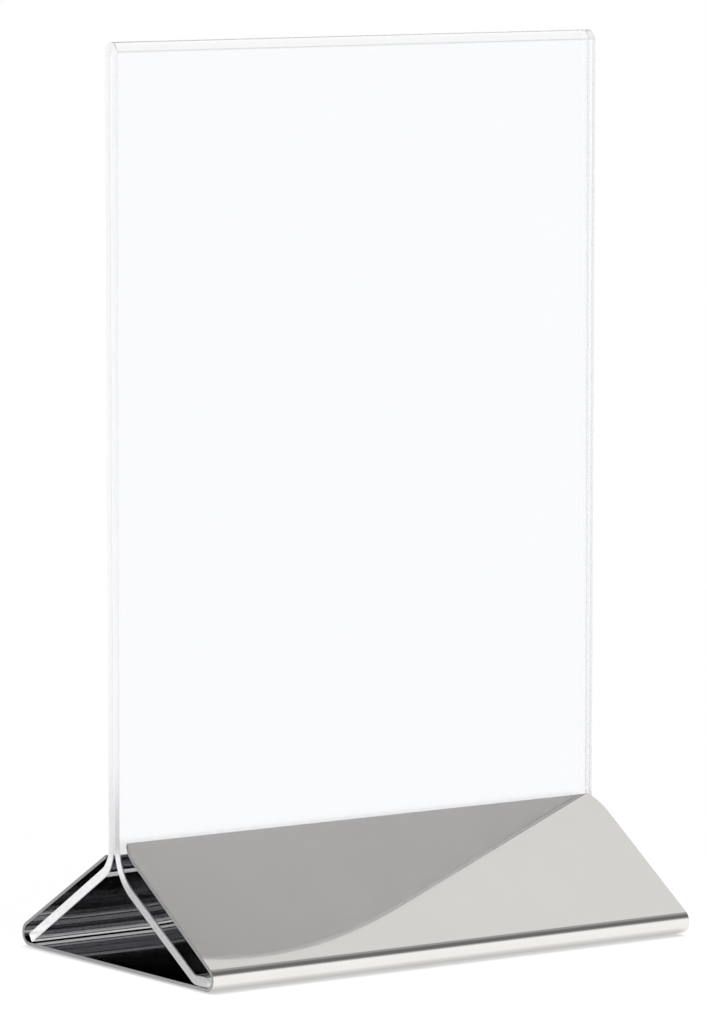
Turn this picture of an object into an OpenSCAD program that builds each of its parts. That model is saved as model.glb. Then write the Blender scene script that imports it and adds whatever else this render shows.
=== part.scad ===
// Table-top sign stand: a folded clear acrylic sleeve stands in the slot of a folded steel base
// and slides out of it endways. X runs along the sign, -Y is the front, +Z is up, and z = 0 is
// the surface it stands on.

/* [Stand] */
// Width of the sleeve and the base
stand_w = 150; // [100:1:220]
// Height from the underside of the steel to the top fold of the sleeve
sign_h = 234.4; // [160:0.1:330]
// Distance of the sleeve's middle plane behind the middle of the base
sleeve_back = 0.6; // [0.55:0.01:0.65]

/* [Steel base] */
// Thickness of the steel sheet
steel_t = 0.9; // [0.8:0.01:0.92]
// Depth of the base over its two bends
base_d = 88.3; // [88:0.1:89]
// Outside radius of the two bends
steel_bend_r = 3.2; // [3.1:0.05:3.25]
// Slope of the front flange from level, in degrees
front_slope = 33.434; // [33.3:0.001:34.5]
// Slope of the back flange from level, in degrees
back_slope = 30.72; // [30.55:0.001:31.4]
// Height of the front flange's top edge above the underside of the steel
front_flange_h = 32.3; // [26:0.1:32.4]
// Height of the back flange's top edge above the underside of the steel
back_flange_h = 28.5; // [22:0.1:28.6]
// Width that the front flange's corners are eased by, along the top edge
ease_w = 1.8; // [1:0.1:3]
// Height that the front flange's corners are eased by, down the slope
ease_h = 7; // [4:0.5:10]
// Radius of the eased corners
ease_r = 16; // [16:1:60]

/* [Acrylic sleeve] */
// Thickness of the acrylic sheet
acrylic_t = 2.5; // [2:0.1:2.5]
// Gap between the two leaves at the neck
neck_gap = 0.1; // [0.05:0.01:0.12]
// Angle by which each leaf leans out from the neck to the top fold, in degrees
leaf_taper = 0.1146; // [0.1:0.0001:0.3]
// Radius of the top fold's two corners, at the middle of the sheet
fold_r = 1.6; // [1.4:0.05:1.6]
// Radius of the back neck bend, at the middle of the sheet
back_neck_r = 8.5; // [6:0.25:9.5]
// Radius of the front neck bend, at the middle of the sheet
front_neck_r = 13.85; // [6:0.05:14]
// Radius of the toe bend, at the middle of the sheet
toe_r = 3.5; // [2:0.25:5]
// Slope of the front leg from level, in degrees
front_leg_slope = 31.842; // [31.5:0.001:32.2]
// Slope of the back leg from level, in degrees
back_leg_slope = 31.878; // [31.5:0.001:32]
// Distance from the sleeve's middle plane to the back leg's foot, at the middle of the sheet
back_foot_y = 39.75; // [38.8:0.05:39.8]
// Distance from the sleeve's middle plane to the front leg's toe bend
front_toe_y = 36.25; // [35.5:0.05:36.4]
// Distance from the sleeve's middle plane to the tip of the front lip
front_lip_y = 42; // [40:0.1:42.1]
// Clearance between the sleeve and the steel floor it rests on
rest_gap = 0.15; // [0.1:0.01:0.2]

/* [Pads] */
// Diameter of an anti-slip pad
pad_d = 12; // [8:0.5:16]
// Thickness of an anti-slip pad
pad_t = 0.5; // [0.5:0.1:1.5]
// Distance of a pad's middle from the end of the base
pad_end_inset = 18; // [12:1:40]
// Distance of a pad's middle from the middle of the base, front and back
pad_y = 28; // [15:1:32]

/* [Hidden] */
// Every z below counts from the underside of the steel, which the pads lift by pad_t.
steel_mid_r = steel_bend_r - steel_t / 2;
steel_mid_z = steel_t / 2;
bend_y = base_d / 2 - steel_bend_r;
leaf_neck_y = (neck_gap + acrylic_t) / 2;
fold_z = sign_h - acrylic_t / 2;
lip_z = steel_t + rest_gap + acrylic_t / 2;
foot_z = steel_t + rest_gap + acrylic_t / 2 * cos(back_leg_slope);
back_neck_z = foot_z + (back_foot_y - leaf_neck_y) * tan(back_leg_slope);
front_neck_z = lip_z + (front_toe_y - leaf_neck_y) * tan(front_leg_slope);
back_fold_y = leaf_neck_y + (fold_z - back_neck_z) * tan(leaf_taper);
front_fold_y = leaf_neck_y + (fold_z - front_neck_z) * tan(leaf_taper);

$fn = 96;

function unit(v) = v / norm(v);
function heading(path, i) = unit(path[i + 1] - path[i]);

// Signed turn at corner i of a path, in degrees, and the length that its bend takes off each flat.
function turn(path, i) =
    let (a = heading(path, i - 1), b = heading(path, i))
    sign(cross(a, b)) * acos(a * b);
function trim(path, radii, i) =
    i == 0 || i == len(path) - 1 ? 0 : radii[i] * tan(abs(turn(path, i)) / 2);

// Draws a profile out past both ends of the stand, for folded_sheet to cut square.
module long_run() {
    linear_extrude(stand_w + 2)
        children();
}

// One bend of a sheet, drawn about its own axis: it starts at X = 0 and turns by the angle given.
module bend_profile(r, angle, t) {
    reach = 2 * (r + t);
    intersection() {
        difference() {
            circle(r = r + t / 2);
            circle(r = r - t / 2);
        }
        translate([0, -reach])
            square([reach, 2 * reach]);
        rotate(angle)
            translate([-reach, -reach])
                square([reach, 2 * reach]);
    }
}

// Flat i of a folded sheet and all that follows it. X runs along the flat, which starts at X = 0.
module fold_on(path, radii, t, i) {
    run = norm(path[i + 1] - path[i]) - trim(path, radii, i) - trim(path, radii, i + 1);
    long_run()
        translate([0, -t / 2])
            square([run, t]);
    if (i + 2 < len(path)) {
        angle = turn(path, i + 1);
        r = radii[i + 1];
        axis_y = sign(angle) * r;
        translate([run, axis_y, 0]) {
            long_run()
                bend_profile(r, angle, t);
            rotate(angle)
                translate([0, -axis_y, 0])
                    fold_on(path, radii, t, i + 1);
        }
    }
}

// A sheet as wide as the stand, folded along a path of [y, z] corners with a radius at each one.
module folded_sheet(path, radii, t) {
    start = heading(path, 0);
    intersection() {
        translate([-stand_w / 2 - 1, path[0][0], path[0][1] + pad_t])
            rotate([90, 0, 90])
                rotate(atan2(start[1], start[0]))
                    fold_on(path, radii, t, 0);
        translate([-stand_w / 2, -base_d, 0])
            cube([stand_w, 2 * base_d, 2 * sign_h]);
    }
}

// Corner of the base's middle line where a flange of this slope leaves the floor.
function base_corner(slope) = [bend_y + steel_mid_r * tan(90 - slope / 2), steel_mid_z];

// Top end of a flange's middle line, with the flange's outer edge at height h.
function flange_top(slope, h) =
    base_corner(slope)
    + (h - steel_t / 2 * cos(slope) - steel_mid_z) / sin(slope) * [-cos(slope), sin(slope)];

// Steel of the front flange that is taken away at the +X end to ease the corner, drawn with X
// along the top edge from the end and Y up the slope.
module ease_cutter() {
    chord = norm([ease_w, ease_h]);
    middle = [-ease_w, -ease_h] / 2;
    inward = [-ease_h, -ease_w] / chord;
    centre = middle + inward * sqrt(ease_r * ease_r - chord * chord / 4);
    difference() {
        translate([-ease_w - 1, -ease_h, -2])
            cube([ease_w + 3, ease_h + 3, 4]);
        translate([centre[0], centre[1], -3])
            cylinder(r = ease_r, h = 6);
    }
}

module steel_base() {
    back_corner = base_corner(back_slope);
    front_corner = base_corner(front_slope);
    back_top = flange_top(back_slope, back_flange_h);
    front_top = flange_top(front_slope, front_flange_h);
    path = [back_top, back_corner, [-front_corner[0], front_corner[1]], [-front_top[0], front_top[1]]];
    color("silver")
        difference() {
            folded_sheet(path, [0, steel_mid_r, steel_mid_r, 0], steel_t);
            for (end = [0, 1])
                mirror([end, 0, 0])
                    translate([stand_w / 2, -front_top[0], front_top[1] + pad_t])
                        rotate([front_slope, 0, 0])
                            ease_cutter();
        }
}

module acrylic_sleeve() {
    path = [[back_foot_y, foot_z],
            [leaf_neck_y, back_neck_z],
            [back_fold_y, fold_z],
            [-front_fold_y, fold_z],
            [-leaf_neck_y, front_neck_z],
            [-front_toe_y, lip_z],
            [-front_lip_y, lip_z]];
    color([0.93, 0.95, 0.98, 0.4])
        translate([0, sleeve_back, 0])
            folded_sheet(path, [0, back_neck_r, fold_r, fold_r, front_neck_r, toe_r, 0], acrylic_t);
}

// One self-adhesive pad under the steel floor; x_side and y_side are -1 or 1.
module pad(x_side, y_side) {
    color("dimgray")
        translate([x_side * (stand_w / 2 - pad_end_inset), y_side * pad_y, 0])
            cylinder(d = pad_d, h = pad_t);
}

steel_base();
acrylic_sleeve();
pad(-1, -1);  // pad_front_left
pad(1, -1);  // pad_front_right
pad(-1, 1);  // pad_back_left
pad(1, 1);  // pad_back_right
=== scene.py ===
"""Looks of the table-top sign stand: a clear folded acrylic sleeve in a folded, polished steel base.

Lengths are in metres. X runs along the sign, -Y is the front and +Z is up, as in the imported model.
"""

import math

import bmesh
import bpy
from mathutils import Matrix, Vector


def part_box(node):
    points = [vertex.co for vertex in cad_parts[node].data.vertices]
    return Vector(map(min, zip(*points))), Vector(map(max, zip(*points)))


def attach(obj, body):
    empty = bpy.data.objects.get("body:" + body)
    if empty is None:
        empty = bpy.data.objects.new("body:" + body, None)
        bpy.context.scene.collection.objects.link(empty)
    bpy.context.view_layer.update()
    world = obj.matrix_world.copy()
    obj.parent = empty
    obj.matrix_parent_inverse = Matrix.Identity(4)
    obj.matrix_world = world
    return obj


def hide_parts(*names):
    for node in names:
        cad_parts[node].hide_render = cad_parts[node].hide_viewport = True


MM = 0.001

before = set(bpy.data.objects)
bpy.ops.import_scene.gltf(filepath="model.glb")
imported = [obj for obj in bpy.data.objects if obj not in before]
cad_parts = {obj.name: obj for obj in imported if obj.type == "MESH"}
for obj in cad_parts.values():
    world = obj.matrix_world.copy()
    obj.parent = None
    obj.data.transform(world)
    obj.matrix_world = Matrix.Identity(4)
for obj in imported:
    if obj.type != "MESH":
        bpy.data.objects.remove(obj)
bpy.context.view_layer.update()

# ---------------------------------------------------------------------------------------------
# Sizes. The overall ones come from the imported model; the sheet thicknesses, bend radii and
# slopes are the stand's own.

BASE_LO, BASE_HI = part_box("steel_base")
SLEEVE_LO, SLEEVE_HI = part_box("acrylic_sleeve")
PAD_LO, PAD_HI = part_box("pad_front_left")

STAND_W = BASE_HI.x - BASE_LO.x
PAD_T = PAD_HI.z - PAD_LO.z

STEEL_T = 0.9 * MM
STEEL_BEND_R = 3.2 * MM
FRONT_SLOPE = math.radians(33.434)
BACK_SLOPE = math.radians(30.72)
BACK_FLANGE_H = 28.5 * MM
EASE_W = 1.8 * MM
EASE_H = 7 * MM
EASE_R = 16 * MM
STEEL_ARRIS = 0.14 * MM
LEAN_AT_END = math.radians(0.9)
LEAN_IN_MIDDLE = math.radians(-1.35)
LEAN_START_X = -5 * MM

SLEEVE_Y = 0.6 * MM
ACRYLIC_T = 2.5 * MM
NECK_GAP = 0.1 * MM
LEAF_TAPER = math.radians(0.1146)
FOLD_R = 1.6 * MM
BACK_NECK_R = 8.5 * MM
FRONT_NECK_R = 13.85 * MM
TOE_R = 3.5 * MM
FRONT_LEG_SLOPE = math.radians(31.842)
BACK_LEG_SLOPE = math.radians(31.878)
BACK_FOOT_Y = 39.75 * MM
FRONT_TOE_Y = 36.25 * MM
FRONT_LIP_Y = 42 * MM
REST_GAP = 0.15 * MM
ACRYLIC_ARRIS = 0.3 * MM
FOOT_GLOW = 0.6
LIP_GLOW = 0.1

# How finely the folded sheets are meshed
X_STEPS = 24
ARRIS_STEPS = 4
STEEL_FLAT_STEP = 1.5 * MM
STEEL_ARC_STEP = math.radians(3)
ACRYLIC_FLAT_STEP = 4 * MM
ACRYLIC_ARC_STEP = math.radians(4)


# ---------------------------------------------------------------------------------------------
# Folded sheets


def folded_line(path, radii, flat_step, arc_step):
    """Points and headings along a sheet's middle line, folded at each inner corner of the path."""
    line = []
    start = path[0]
    for i in range(1, len(path)):
        into = (path[i] - path[i - 1]).normalized()
        last = i == len(path) - 1
        trim = 0.0
        turn = 0.0
        if not last:
            out = (path[i + 1] - path[i]).normalized()
            turn = math.atan2(into.x * out.y - into.y * out.x, into.dot(out))
            trim = radii[i] * math.tan(abs(turn) / 2)
        end = path[i] - into * trim
        steps = max(2, math.ceil((end - start).length / flat_step))
        for k in range(steps + 1):
            line.append((start.lerp(end, k / steps), into.copy()))
        if not last:
            side = 1 if turn > 0 else -1
            centre = end + Vector((-into.y, into.x)) * side * radii[i]
            arc_steps = max(4, math.ceil(abs(turn) / arc_step))
            for k in range(1, arc_steps):
                spin = Matrix.Rotation(turn * k / arc_steps, 2)
                line.append((centre + spin @ (end - centre), spin @ into))
            start = path[i] + out * trim
    return line


def rounded_ends(line, arris, steps):
    """Adds stations near both free ends, and gives each station how far the rounding cuts in."""
    def eased(s):
        return arris - math.sqrt(max(0.0, arris**2 - (arris - s) ** 2))

    stations = []
    head_point, head_way = line[0]
    tail_point, tail_way = line[-1]
    for k in range(steps):
        s = arris * (1 - math.cos(math.pi / 2 * k / steps))
        stations.append((head_point + head_way * s, head_way, eased(s)))
    stations.append((head_point + head_way * arris, head_way, 0.0))
    stations += [(p, w, 0.0) for p, w in line[1:-1]]
    stations.append((tail_point - tail_way * arris, tail_way, 0.0))
    for k in reversed(range(steps)):
        s = arris * (1 - math.cos(math.pi / 2 * k / steps))
        stations.append((tail_point - tail_way * s, tail_way, eased(s)))
    return stations


def inset_loop(loop, amount):
    """The closed outline moved inwards by this much, point for point."""
    moved = []
    for i, point in enumerate(loop):
        ahead = (loop[(i + 1) % len(loop)] - point).normalized()
        behind = (point - loop[i - 1]).normalized()
        way = (ahead + behind).normalized()
        moved.append(point + Vector((-way.y, way.x)) * amount)
    return moved


def sheet_mesh(name, line, thickness, arris, half_width, materials):
    """A closed sheet solid along X with rounded arrises; half_width(point, along) is its half width.

    materials is (outer face, inner face, end edge, tip edge); the inner face is on the path's
    right, and the tips are the path's two ends."""
    stations = rounded_ends(line, arris, ARRIS_STEPS)
    count = len(stations)
    left = [p + Vector((-w.y, w.x)) * (thickness / 2 - cut) for p, w, cut in stations]
    right = [p - Vector((-w.y, w.x)) * (thickness / 2 - cut) for p, w, cut in stations]
    travelled = [0.0]
    for i in range(1, count):
        travelled.append(travelled[-1] + (stations[i][0] - stations[i - 1][0]).length)
    outline = right + left[::-1]
    along = travelled + travelled[::-1]
    halves = [half_width(s, travelled[-1]) for s in along]

    rings = []
    for j in range(ARRIS_STEPS + 1):
        a = math.pi / 2 * j / ARRIS_STEPS
        rings.append((arris * (1 - math.cos(a)), arris * (1 - math.sin(a))))
    inner = [STAND_W * (k / X_STEPS - 0.5) for k in range(1, X_STEPS)]

    verts = []
    ring_starts = []

    def add_ring(points, xs):
        ring_starts.append(len(verts))
        verts.extend((x, p.x, p.y) for x, p in zip(xs, points))

    for back_off, inset in rings:
        add_ring(inset_loop(outline, inset), [-(h - back_off) for h in halves])
    for x in inner:
        add_ring(outline, [x] * len(outline))
    for back_off, inset in reversed(rings):
        add_ring(inset_loop(outline, inset), [h - back_off for h in halves])

    faces = []
    kinds = []
    n = len(outline)
    for a, b in zip(ring_starts, ring_starts[1:]):
        for i in range(n):
            j = (i + 1) % n
            faces.append((a + i, a + j, b + j, b + i))
            on_tip = i == count - 1 or i == n - 1
            on_arris = a < ring_starts[ARRIS_STEPS] or a >= ring_starts[-ARRIS_STEPS - 1]
            kinds.append(3 if on_tip else 2 if on_arris else 1 if i < count else 0)
    for first, flip in ((ring_starts[0], False), (ring_starts[-1], True)):
        for i in range(count - 1):
            quad = (first + i, first + n - 1 - i, first + n - 2 - i, first + i + 1)
            faces.append(quad[::-1] if flip else quad)
            kinds.append(2)

    mesh = bpy.data.meshes.new(name)
    mesh.from_pydata(verts, [], faces)
    for material in materials:
        mesh.materials.append(material)
    mesh.polygons.foreach_set("material_index", kinds)
    mesh.polygons.foreach_set("use_smooth", [True] * len(faces))
    bm = bmesh.new()
    bm.from_mesh(mesh)
    bmesh.ops.recalc_face_normals(bm, faces=bm.faces)
    bm.to_mesh(mesh)
    bm.free()
    mesh.update()
    piece = bpy.data.objects.new(name, mesh)
    bpy.context.scene.collection.objects.link(piece)
    smooth = piece.modifiers.new("flat faces stay flat", "WEIGHTED_NORMAL")
    smooth.mode = "FACE_AREA_WITH_ANGLE"
    smooth.weight = 100
    smooth.keep_sharp = True
    return piece


# ---------------------------------------------------------------------------------------------
# Materials


class Nodes:
    """Builds one node material: node() adds a node, and link() joins two sockets."""

    def __init__(self, name):
        self.material = bpy.data.materials.new(name)
        self.material.use_nodes = True
        self.tree = self.material.node_tree
        self.shader = self.tree.nodes["Principled BSDF"]
        self.place = self.node("ShaderNodeTexCoord").outputs["Object"]

    def node(self, kind, **values):
        made = self.tree.nodes.new(kind)
        for key, value in values.items():
            if hasattr(made, key):
                setattr(made, key, value)
            else:
                made.inputs[key.replace("_", " ")].default_value = value
        return made

    def link(self, a, b):
        self.tree.links.new(a, b)

    def set(self, **values):
        for key, value in values.items():
            self.shader.inputs[key.replace("_", " ")].default_value = value

    def noise(self, stretch, scale, detail=2.0, roughness=0.5):
        """Noise over the object's own position, stretched by a factor along each axis."""
        mapping = self.node("ShaderNodeMapping")
        mapping.inputs["Scale"].default_value = stretch
        self.link(self.place, mapping.inputs["Vector"])
        noise = self.node("ShaderNodeTexNoise", Scale=scale, Detail=detail, Roughness=roughness)
        self.link(mapping.outputs["Vector"], noise.inputs["Vector"])
        return noise.outputs["Fac"]

    def span(self, value, low, high, to_low, to_high):
        """value from low..high turned into to_low..to_high, and held there outside it."""
        span = self.node("ShaderNodeMapRange")
        for name, number in (("From Min", low), ("From Max", high),
                             ("To Min", to_low), ("To Max", to_high)):
            span.inputs[name].default_value = number
        self.link(value, span.inputs["Value"])
        return span.outputs["Result"]

    def math(self, operation, a, b):
        made = self.node("ShaderNodeMath", operation=operation)
        for socket, value in zip(made.inputs, (a, b)):
            if isinstance(value, (int, float)):
                socket.default_value = value
            else:
                self.link(value, socket)
        return made.outputs["Value"]

    def ramp(self, value, stops):
        """A colour ramp through (position, colour) stops."""
        ramp = self.node("ShaderNodeValToRGB")
        elements = ramp.color_ramp.elements
        while len(elements) < len(stops):
            elements.new(0.5)
        for element, (position, colour) in zip(elements, stops):
            element.position = position
            element.color = (*colour, 1)
        self.link(value, ramp.inputs["Fac"])
        return ramp.outputs["Color"]

    def bump(self, height, distance, strength=1.0, below=None):
        bump = self.node("ShaderNodeBump", Strength=strength, Distance=distance)
        self.link(height, bump.inputs["Height"])
        if below is not None:
            self.link(below, bump.inputs["Normal"])
        return bump.outputs["Normal"]


def polished_steel():
    """Mirror-polished sheet with a faint rolling grain along X, hairline scratches and smudges.

    The flanges are a little out of flat, as folded sheet is: they lean back in the middle."""
    m = Nodes("polished_steel")
    m.set(Metallic=1.0)
    grain = m.noise((0.02, 1, 1), 9000, 3, 0.6)
    hairlines = m.span(m.noise((0.05, 1, 1), 2600, 2, 0.5), 0.66, 0.74, 0.0, 1.0)
    smudges = m.noise((1, 1, 1), 34, 4, 0.55)
    rough = m.span(smudges, 0.35, 0.7, 0.015, 0.04)
    rough = m.math("ADD", rough, m.math("MULTIPLY", grain, 0.012))
    rough = m.math("ADD", rough, m.math("MULTIPLY", hairlines, 0.03))
    m.link(rough, m.shader.inputs["Roughness"])
    tone = m.math("ADD", m.math("MULTIPLY", smudges, 0.6), m.math("MULTIPLY", grain, 0.4))
    m.link(m.ramp(tone, [(0.3, (0.69, 0.672, 0.65)), (0.7, (0.73, 0.712, 0.69))]),
           m.shader.inputs["Base Color"])
    axes = m.node("ShaderNodeSeparateXYZ")
    m.link(m.place, axes.inputs["Vector"])
    twist = m.span(axes.outputs["X"], LEAN_START_X, -STAND_W / 2, 0, 1)
    lean = m.span(m.math("MULTIPLY", twist, twist), 0, 1, LEAN_IN_MIDDLE, LEAN_AT_END)
    down = m.math("MULTIPLY", m.math("ABSOLUTE", axes.outputs["Y"], 0), -math.cos(FRONT_SLOPE))
    up = m.math("MULTIPLY", axes.outputs["Z"], math.sin(FRONT_SLOPE))
    foot = STEEL_BEND_R * math.sin(FRONT_SLOPE) - (BASE_HI.y - STEEL_BEND_R) * math.cos(FRONT_SLOPE)
    climb = m.math("MAXIMUM", m.math("SUBTRACT", m.math("ADD", down, up), foot), 0)
    bow = m.bump(m.math("MULTIPLY", climb, lean), 1.0)
    fine = m.bump(grain, 0.0000003, 0.25, bow)
    m.link(m.bump(hairlines, 0.0000006, 0.25, fine), m.shader.inputs["Normal"])
    return m.material


def steel_inner_face_painted_shade():
    """The inside of the folded sheet, with a softer mirror finish; its colour is darker than the
    outside's as painted shade for the dim inside of the fold.
    """
    m = Nodes("steel_inner_face_painted_shade")
    m.set(Metallic=1.0)
    grain = m.noise((0.01, 1, 1), 5000, 1, 0.5)
    patches = m.noise((1, 1, 1), 40, 3, 0.5)
    m.link(m.span(patches, 0.35, 0.7, 0.03, 0.06), m.shader.inputs["Roughness"])
    # Painted shade: this steel colour is darkened to stand for the dim inside of the fold, with real
    # patchy tone on top.
    m.link(m.ramp(m.math("ADD", m.math("MULTIPLY", patches, 0.5), m.math("MULTIPLY", grain, 0.5)),
                  [(0.3, (0.32, 0.32, 0.33)), (0.7, (0.36, 0.36, 0.37))]),
           m.shader.inputs["Base Color"])
    return m.material


def steel_cut_edge():
    """The sheet's sheared and deburred edge: duller and rougher, with fine shear marks."""
    m = Nodes("steel_cut_edge")
    m.set(Metallic=1.0)
    marks = m.noise((6, 1, 1), 2200, 3, 0.6)
    m.link(m.span(marks, 0.3, 0.7, 0.26, 0.4), m.shader.inputs["Roughness"])
    m.link(m.ramp(marks, [(0.3, (0.24, 0.24, 0.25)), (0.7, (0.38, 0.38, 0.39))]),
           m.shader.inputs["Base Color"])
    m.link(m.bump(marks, 0.00001, 0.4), m.shader.inputs["Normal"])
    return m.material


def clear_acrylic():
    """Clear cast acrylic with a trace of cool tint, a faint sheet waviness and hairline rubs."""
    m = Nodes("clear_acrylic")
    m.set(Base_Color=(0.958, 0.961, 0.968, 1), Transmission_Weight=1.0, IOR=1.49, Roughness=0.0)
    waves = m.noise((1, 1, 0.5), 28, 1, 0.4)
    rubs = m.span(m.noise((0.4, 1, 1.4), 900, 2, 0.5), 0.7, 0.78, 0.0, 1.0)
    soft = m.bump(waves, 0.000012, 0.3)
    m.link(m.bump(rubs, 0.0000008, 0.25, soft), m.shader.inputs["Normal"])
    return m.material


def acrylic_cut_edge():
    """The sheet's polished cut edge: clear, with fine saw lines left in it."""
    m = Nodes("acrylic_cut_edge")
    m.set(Base_Color=(0.975, 0.97, 0.985, 1), Transmission_Weight=1.0, IOR=1.49, Roughness=0.3)
    saw = m.noise((1, 0.15, 1), 2600, 3, 0.6)
    m.link(m.bump(saw, 0.000004, 0.3), m.shader.inputs["Normal"])
    return m.material


def acrylic_sawn_tip_painted_glow():
    """The foot and lip edges, left as sawn and frosted.

    A painted glow, an emission of their own that is stronger at the foot, stands in for the light
    that the sheet carries."""
    m = Nodes("acrylic_sawn_tip_painted_glow")
    m.set(Transmission_Weight=1.0, IOR=1.49, Roughness=0.35, Emission_Color=(1, 1, 1, 1))
    axes = m.node("ShaderNodeSeparateXYZ")
    m.link(m.place, axes.inputs["Vector"])
    # Painted glow: emission on the foot and lip edges stands in for light carried through the sheet.
    glow = m.span(axes.outputs["Y"], -FRONT_TOE_Y, BACK_FOOT_Y / 2, LIP_GLOW, FOOT_GLOW)
    m.link(glow, m.shader.inputs["Emission Strength"])
    saw = m.noise((0.2, 1, 1), 3000, 3, 0.6)
    m.link(m.ramp(saw, [(0.3, (0.9, 0.9, 0.92)), (0.7, (0.97, 0.97, 0.98))]),
           m.shader.inputs["Base Color"])
    m.link(m.bump(saw, 0.00001, 0.5), m.shader.inputs["Normal"])
    return m.material


def pad_rubber():
    """Soft black anti-slip rubber with a fine stipple and a little dust."""
    m = Nodes("pad_rubber")
    stipple = m.noise((1, 1, 1), 5200, 2, 0.6)
    dust = m.noise((1, 1, 1), 420, 4, 0.6)
    m.link(m.span(dust, 0.3, 0.7, 0.72, 0.9), m.shader.inputs["Roughness"])
    m.link(m.ramp(dust, [(0.35, (0.022, 0.022, 0.024)), (0.75, (0.06, 0.058, 0.056))]),
           m.shader.inputs["Base Color"])
    m.link(m.bump(stipple, 0.00004, 0.5), m.shader.inputs["Normal"])
    return m.material


# ---------------------------------------------------------------------------------------------
# Pieces


def base_line():
    """Middle line of the steel: back flange's top, down its slope, floor, and up the front flange."""
    mid_r = STEEL_BEND_R - STEEL_T / 2
    mid_z = PAD_T + STEEL_T / 2
    bend_y = BASE_HI.y - STEEL_BEND_R
    front_flange_h = BASE_HI.z - PAD_T

    def corner(slope):
        return bend_y + mid_r * math.tan(math.pi / 2 - slope / 2)

    def top(slope, height):
        run = (height - STEEL_T / 2 * math.cos(slope) - STEEL_T / 2) / math.sin(slope)
        return Vector((corner(slope) - run * math.cos(slope), mid_z + run * math.sin(slope)))

    back_top = top(BACK_SLOPE, BACK_FLANGE_H)
    front_top = top(FRONT_SLOPE, front_flange_h)
    path = [back_top, Vector((corner(BACK_SLOPE), mid_z)),
            Vector((-corner(FRONT_SLOPE), mid_z)), Vector((-front_top.x, front_top.y))]
    return folded_line(path, [0, mid_r, mid_r, 0], STEEL_FLAT_STEP, STEEL_ARC_STEP)


def ease(s):
    """How much the front flange's corner is eased at this distance down from its top edge."""
    if s >= EASE_H:
        return 0.0
    chord = math.hypot(EASE_W, EASE_H)
    sag = math.sqrt(EASE_R**2 - chord**2 / 4)
    centre_x = -EASE_W / 2 - EASE_H / chord * sag
    centre_y = -EASE_H / 2 - EASE_W / chord * sag
    return -(centre_x + math.sqrt(EASE_R**2 - (-s - centre_y) ** 2))


def make_base(materials):
    base = sheet_mesh("steel_base_sheet", base_line(), STEEL_T, STEEL_ARRIS,
                      lambda s, total: STAND_W / 2 - ease(total - s), materials)
    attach(base, "base")
    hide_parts("steel_base")
    return base


def sleeve_line():
    """Middle line of the acrylic: back foot, neck, up and over the top fold, neck, toe and lip."""
    leaf = (NECK_GAP + ACRYLIC_T) / 2
    top_z = SLEEVE_HI.z - ACRYLIC_T / 2
    lip_z = PAD_T + STEEL_T + REST_GAP + ACRYLIC_T / 2
    foot_z = PAD_T + STEEL_T + REST_GAP + ACRYLIC_T / 2 * math.cos(BACK_LEG_SLOPE)
    back_neck_z = foot_z + (BACK_FOOT_Y - leaf) * math.tan(BACK_LEG_SLOPE)
    front_neck_z = lip_z + (FRONT_TOE_Y - leaf) * math.tan(FRONT_LEG_SLOPE)
    back_fold_y = leaf + (top_z - back_neck_z) * math.tan(LEAF_TAPER)
    front_fold_y = leaf + (top_z - front_neck_z) * math.tan(LEAF_TAPER)
    corners = [(BACK_FOOT_Y, foot_z), (leaf, back_neck_z), (back_fold_y, top_z),
               (-front_fold_y, top_z), (-leaf, front_neck_z), (-FRONT_TOE_Y, lip_z),
               (-FRONT_LIP_Y, lip_z)]
    path = [Vector((y + SLEEVE_Y, z)) for y, z in corners]
    radii = [0, BACK_NECK_R, FOLD_R, FOLD_R, FRONT_NECK_R, TOE_R, 0]
    return folded_line(path, radii, ACRYLIC_FLAT_STEP, ACRYLIC_ARC_STEP)


def make_sleeve(materials):
    sleeve = sheet_mesh("acrylic_sleeve_sheet", sleeve_line(), ACRYLIC_T, ACRYLIC_ARRIS,
                        lambda s, total: STAND_W / 2, materials)
    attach(sleeve, "sleeve")
    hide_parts("acrylic_sleeve")
    return sleeve


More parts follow.
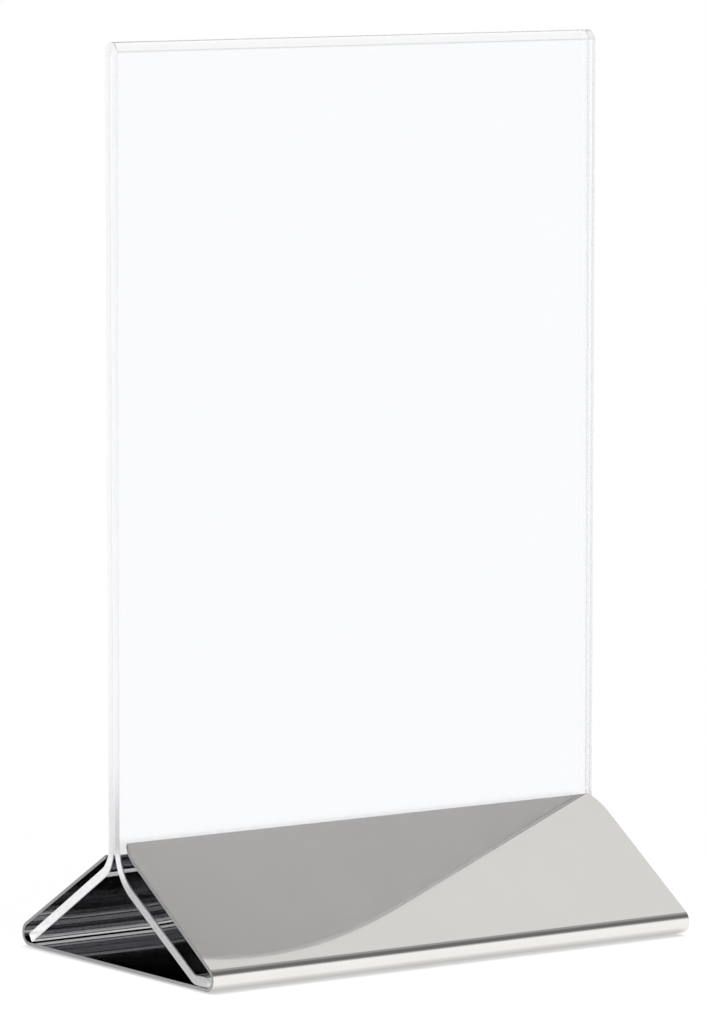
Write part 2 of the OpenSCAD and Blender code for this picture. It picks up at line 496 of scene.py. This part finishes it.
def make_pad(node, material):
    """A turned pad: a thin adhesive layer on top and a soft body with a rounded lower rim."""
    lo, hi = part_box(node)
    centre = (lo + hi) / 2
    radius = (hi.x - lo.x) / 2
    adhesive_t = 0.15 * MM
    adhesive_r = radius - 0.25 * MM
    adhesive_bevel_w = 0.05 * MM
    adhesive_bevel_h = 0.03 * MM
    body_bevel = 0.06 * MM
    rim_r = 0.3 * MM
    rim_steps = 6
    profile = [(0, hi.z), (adhesive_r - adhesive_bevel_w, hi.z),
               (adhesive_r, hi.z - adhesive_bevel_h), (adhesive_r, hi.z - adhesive_t),
               (radius - body_bevel, hi.z - adhesive_t),
               (radius, hi.z - adhesive_t - body_bevel)]
    for k in range(rim_steps + 1):
        a = math.pi / 2 * k / rim_steps
        profile.append((radius - rim_r + rim_r * math.cos(a), lo.z + rim_r - rim_r * math.sin(a)))
    profile += [(radius * f, lo.z) for f in (0.8, 0.6, 0.4, 0.2)]
    profile.append((0, lo.z))
    bm = bmesh.new()
    sides = 72
    rows = []
    for r, z in profile:
        if r == 0:
            rows.append([bm.verts.new((centre.x, centre.y, z))])
            continue
        angles = [2 * math.pi * k / sides for k in range(sides)]
        rows.append([bm.verts.new((centre.x + r * math.cos(a), centre.y + r * math.sin(a), z))
                     for a in angles])
    for upper, lower in zip(rows, rows[1:]):
        for k in range(sides):
            j = (k + 1) % sides
            corners = [upper[k % len(upper)], upper[j % len(upper)],
                       lower[j % len(lower)], lower[k % len(lower)]]
            bm.faces.new(list(dict.fromkeys(corners)))
    bmesh.ops.recalc_face_normals(bm, faces=bm.faces)
    for face in bm.faces:
        face.smooth = True
    mesh = bpy.data.meshes.new(node + "_rubber")
    bm.to_mesh(mesh)
    bm.free()
    mesh.materials.append(material)
    mesh.set_sharp_from_angle(angle=math.radians(50))
    pad = bpy.data.objects.new(node + "_rubber", mesh)
    bpy.context.scene.collection.objects.link(pad)
    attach(pad, "base")
    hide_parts(node)
    return pad


cut_steel = steel_cut_edge()
make_base((polished_steel(), steel_inner_face_painted_shade(), cut_steel, cut_steel))
acrylic = clear_acrylic()
make_sleeve((acrylic, acrylic, acrylic_cut_edge(), acrylic_sawn_tip_painted_glow()))
rubber = pad_rubber()
for end in ("front", "back"):
    for side in ("left", "right"):
        make_pad(f"pad_{end}_{side}", rubber)


# ---------------------------------------------------------------------------------------------
# Camera

VIEW_YAW = math.radians(35.236)
VIEW_DOWN = math.radians(6.228)
VIEW_DISTANCE = 1.72815
VIEW_LENS = 235.33
AIM = Vector((0, 0.0009, 0.1155))
AIM_RIGHT = 0.44 * MM
AIM_DOWN = 3.4 * MM


def make_camera():
    ahead = Vector((math.sin(VIEW_YAW) * math.cos(VIEW_DOWN),
                    math.cos(VIEW_YAW) * math.cos(VIEW_DOWN), -math.sin(VIEW_DOWN)))
    right = Vector((math.cos(VIEW_YAW), -math.sin(VIEW_YAW), 0))
    up = right.cross(ahead)
    data = bpy.data.cameras.new("camera")
    data.sensor_width = 36
    data.lens = VIEW_LENS
    data.clip_start = 0.05
    data.clip_end = 60
    camera = bpy.data.objects.new("camera", data)
    bpy.context.scene.collection.objects.link(camera)
    camera.location = AIM - right * AIM_RIGHT - up * AIM_DOWN - ahead * VIEW_DISTANCE
    camera.rotation_euler = Matrix((right, up, -ahead)).transposed().to_euler()
    bpy.context.scene.camera = camera


make_camera()


# ---------------------------------------------------------------------------------------------
# Studio

FLOOR_SIZE = 40.0
FLOOR_ALBEDO = 0.2
GLOW_BACK = 0.87
GLOW_FRONT = 1.13
GLOW_BACK_Y = 0.06
GLOW_FRONT_Y = -0.045
SHADE_REACH = 0.003
SHADE_DEPTH = 0.55
SKY_BRIGHT = 0.92
SKY_OVER = 0.42
SKY_DARK = 0.2
SKY_LOW = 1.25

# Where the sky changes, as parts of a direction of length 1
LOW_TO_DARK_Z = (0.22, 0.54)
FRONT_TO_OVER_Y = (-0.38, -0.2)
OVER_TO_BRIGHT_Y = (-0.08, 0.17)

# Enough for light to run the whole length of the acrylic, turned back at its faces on the way
MIRROR_BOUNCES = 96
DIFFUSE_BOUNCES = 3


def make_floor():
    """A white glowing floor, with a painted pool of light brighter in front and a painted soft
    contact shadow.
    """
    mesh = bpy.data.meshes.new("floor")
    h = FLOOR_SIZE / 2
    mesh.from_pydata([(-h, -h, 0), (h, -h, 0), (h, h, 0), (-h, h, 0)], [], [(0, 1, 2, 3)])
    floor = bpy.data.objects.new("floor", mesh)
    bpy.context.scene.collection.objects.link(floor)
    m = Nodes("white_floor")
    m.set(Base_Color=(FLOOR_ALBEDO,) * 3 + (1,), Roughness=1.0, Specular_IOR_Level=0.0)
    m.set(Emission_Color=(1, 1, 1, 1))
    axes = m.node("ShaderNodeSeparateXYZ")
    m.link(m.place, axes.inputs["Vector"])
    # Painted light and shade: the floor's emission is brighter in front, and ambient occlusion paints
    # a soft contact shadow into it.
    glow = m.span(axes.outputs["Y"], GLOW_FRONT_Y, GLOW_BACK_Y, GLOW_FRONT, GLOW_BACK)
    shade = m.node("ShaderNodeAmbientOcclusion", Distance=SHADE_REACH)
    lit = m.span(shade.outputs["AO"], 0, 1, 1 - SHADE_DEPTH, 1)
    m.link(m.math("MULTIPLY", glow, lit), m.shader.inputs["Emission Strength"])
    mesh.materials.append(m.material)


def make_sky():
    """A soft white dome over the back half of the studio. Overhead it is dimmer, and in front
    dimmer still, down to a bright band low over the floor."""
    world = bpy.data.worlds.new("studio")
    bpy.context.scene.world = world
    world.use_nodes = True
    tree = world.node_tree
    background = tree.nodes["Background"]
    background.inputs["Color"].default_value = (1, 1, 1, 1)
    place = tree.nodes.new("ShaderNodeTexCoord")
    parts = tree.nodes.new("ShaderNodeSeparateXYZ")
    tree.links.new(place.outputs["Generated"], parts.inputs["Vector"])

    def fade(value, where, from_level, to_level):
        made = tree.nodes.new("ShaderNodeMapRange")
        made.interpolation_type = "SMOOTHSTEP"
        made.inputs["From Min"].default_value = where[0]
        made.inputs["From Max"].default_value = where[1]
        for name, level in (("To Min", from_level), ("To Max", to_level)):
            if isinstance(level, float):
                made.inputs[name].default_value = level
            else:
                tree.links.new(level, made.inputs[name])
        tree.links.new(value, made.inputs["Value"])
        return made.outputs["Result"]

    front = fade(parts.outputs["Z"], LOW_TO_DARK_Z, SKY_LOW, SKY_DARK)
    over = fade(parts.outputs["Y"], FRONT_TO_OVER_Y, front, SKY_OVER)
    sky = fade(parts.outputs["Y"], OVER_TO_BRIGHT_Y, over, SKY_BRIGHT)
    tree.links.new(sky, background.inputs["Strength"])


make_floor()
make_sky()
scene = bpy.context.scene
scene.view_settings.view_transform = "Standard"
scene.cycles.max_bounces = MIRROR_BOUNCES
scene.cycles.transmission_bounces = MIRROR_BOUNCES
scene.cycles.glossy_bounces = MIRROR_BOUNCES
scene.cycles.diffuse_bounces = DIFFUSE_BOUNCES
